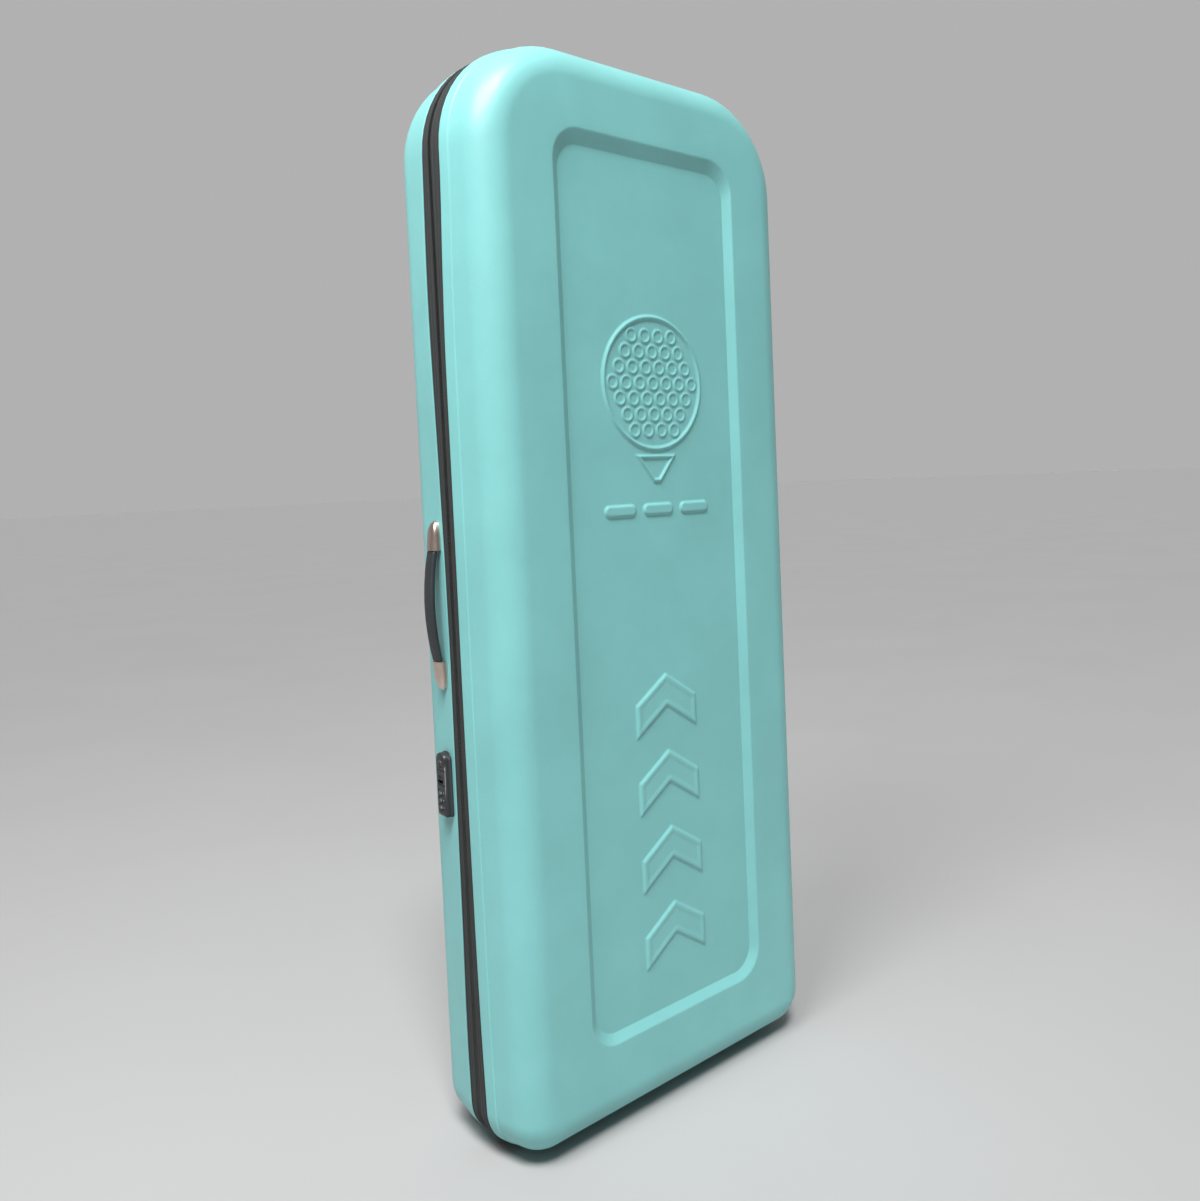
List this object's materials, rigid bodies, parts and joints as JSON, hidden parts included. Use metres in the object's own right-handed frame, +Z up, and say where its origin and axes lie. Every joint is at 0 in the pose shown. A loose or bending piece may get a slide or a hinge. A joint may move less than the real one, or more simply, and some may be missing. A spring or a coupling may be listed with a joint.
{
  "type": "golf travel case",
  "caption": "Tall hard two-shell golf travel case with rounded drafted sides, sunk front panel, zip band all round, side grab handle, combination lock, tow handle, wheels and straps.",
  "frame": {"origin": "on the floor, below the middle of the case's width and in the zip plane between the two shells", "axes": "+X to the hinge side, seen from the lid; -Y out of the lid's face; +Z up, along the case's length"},
  "size_m": [0.5157, 0.1828, 1.3009],
  "materials": {
    "shell": "fine-grained moulded polycarbonate, semi-gloss",
    "zip_tape": "woven polyester tape",
    "zip_coil": "nylon coil",
    "slider_metal": "black painted zinc",
    "lining": "woven polyester lining",
    "foam_cover": "brushed knit over foam",
    "webbing": "polypropylene webbing",
    "buckle_plastic": "moulded acetal",
    "grip_rubber": "soft-touch moulded rubber",
    "cap_metal": "satin rosy nickel",
    "steel": "zinc-plated steel",
    "lock_plastic": "moulded ABS, satin black",
    "dial_plastic": "moulded acetal, numbered",
    "lock_metal": "turned brass",
    "housing_plastic": "moulded polypropylene",
    "hub_plastic": "moulded nylon",
    "tyre_rubber": "polyurethane tread",
    "foot_rubber": "moulded rubber"
  },
  "bodies": {
    "base": {"rear_shell": "shell", "zip_tape_rear": "zip_tape", "zip_coil_rear": "zip_coil", "hinge_gusset_rear": "lining", "rear_lining": "lining", "butt_foam": "foam_cover", "head_foam": "foam_cover", "cradle_lower": "foam_cover", "cradle_upper": "foam_cover", "strap_lower": "webbing", "strap_upper": "webbing", "buckle_lower": "buckle_plastic", "buckle_upper": "buckle_plastic", "side_cap_a": "cap_metal", "side_cap_b": "cap_metal", "side_backplate": "steel", "side_screws": "steel", "tow_cap_a": "cap_metal", "tow_cap_b": "cap_metal", "tow_backplate": "steel", "tow_screws": "steel", "lock_housing": "lock_plastic", "lock_shaft": "steel", "lock_backplate": "steel", "lock_screws": "steel", "wheel_housing_left": "housing_plastic", "wheel_housing_right": "housing_plastic", "axle_left": "steel", "axle_right": "steel"},
    "lid": {"front_shell": "shell", "zip_tape_front": "zip_tape", "zip_coil_front": "zip_coil", "hinge_gusset_front": "lining", "front_lining": "lining", "lid_pocket": "lining", "lid_pocket_binding": "webbing", "foot_left": "foot_rubber", "foot_right": "foot_rubber", "foot_screws": "steel"},
    "slider_left": {"slider_left": "slider_metal"},
    "slider_right": {"slider_right": "slider_metal"},
    "pull_left": {"pull_left": "slider_metal"},
    "pull_right": {"pull_right": "slider_metal"},
    "side_handle": {"side_grip": "grip_rubber", "side_core": "steel"},
    "tow_handle": {"tow_grip": "grip_rubber", "tow_core": "steel"},
    "dial_1": {"dial_1": "dial_plastic"},
    "dial_2": {"dial_2": "dial_plastic"},
    "dial_3": {"dial_3": "dial_plastic"},
    "lock_release": {"lock_release": "lock_plastic"},
    "lock_cylinder": {"lock_cylinder": "lock_metal"},
    "wheel_left": {"hub_left": "hub_plastic", "tyre_left": "tyre_rubber", "wheel_bearings_left": "steel"},
    "wheel_right": {"hub_right": "hub_plastic", "tyre_right": "tyre_rubber", "wheel_bearings_right": "steel"}
  },
  "joints": [
    {"name": "lid_hinge", "type": "hinge", "parent": "base", "child": "lid", "pos_m": [0.2515, 0, 0.64], "axis": [0, 0, 1], "range_deg": [0, 178]},
    {"name": "zip_left", "type": "slide", "parent": "base", "child": "slider_left", "axis": [-1, 0, 0], "range_m": [0, 0.085]},
    {"name": "zip_right", "type": "slide", "parent": "base", "child": "slider_right", "axis": [1, 0, 0], "range_m": [0, 0.085]},
    {"name": "pull_left_swing", "type": "hinge", "parent": "slider_left", "child": "pull_left", "pos_m": [-0.009, 0, 1.2903], "axis": [0, 1, 0], "range_deg": [0, 150]},
    {"name": "pull_right_swing", "type": "hinge", "parent": "slider_right", "child": "pull_right", "pos_m": [0.009, 0, 1.2903], "axis": [0, -1, 0], "range_deg": [0, 150]},
    {"name": "side_handle_lift", "type": "slide", "parent": "base", "child": "side_handle", "axis": [-0.9946, 0.1037, 0], "range_m": [0, 0.0025], "stiffness_N_per_m": 2000},
    {"name": "tow_handle_lift", "type": "slide", "parent": "base", "child": "tow_handle", "axis": [0, 0.1037, 0.9946], "range_m": [0, 0.0025], "stiffness_N_per_m": 2000},
    {"name": "dial_1_turn", "type": "hinge", "parent": "base", "child": "dial_1", "pos_m": [-0.25323, 0.03154, 0.4105], "axis": [0, 0, 1], "continuous": true},
    {"name": "dial_2_turn", "type": "hinge", "parent": "base", "child": "dial_2", "pos_m": [-0.25323, 0.03154, 0.419], "axis": [0, 0, 1], "continuous": true},
    {"name": "dial_3_turn", "type": "hinge", "parent": "base", "child": "dial_3", "pos_m": [-0.25323, 0.03154, 0.4275], "axis": [0, 0, 1], "continuous": true},
    {"name": "release_slide", "type": "slide", "parent": "base", "child": "lock_release", "axis": [0, 0, -1], "range_m": [0, 0.004], "stiffness_N_per_m": 300},
    {"name": "key_turn", "type": "hinge", "parent": "base", "child": "lock_cylinder", "pos_m": [-0.25303, 0.03152, 0.462], "axis": [-0.9946, 0.1037, 0], "range_deg": [0, 90]},
    {"name": "wheel_left_spin", "type": "hinge", "parent": "base", "child": "wheel_left", "pos_m": [-0.17, 0.064, 0.025], "axis": [1, 0, 0], "continuous": true},
    {"name": "wheel_right_spin", "type": "hinge", "parent": "base", "child": "wheel_right", "pos_m": [0.17, 0.064, 0.025], "axis": [1, 0, 0], "continuous": true}
  ]
}
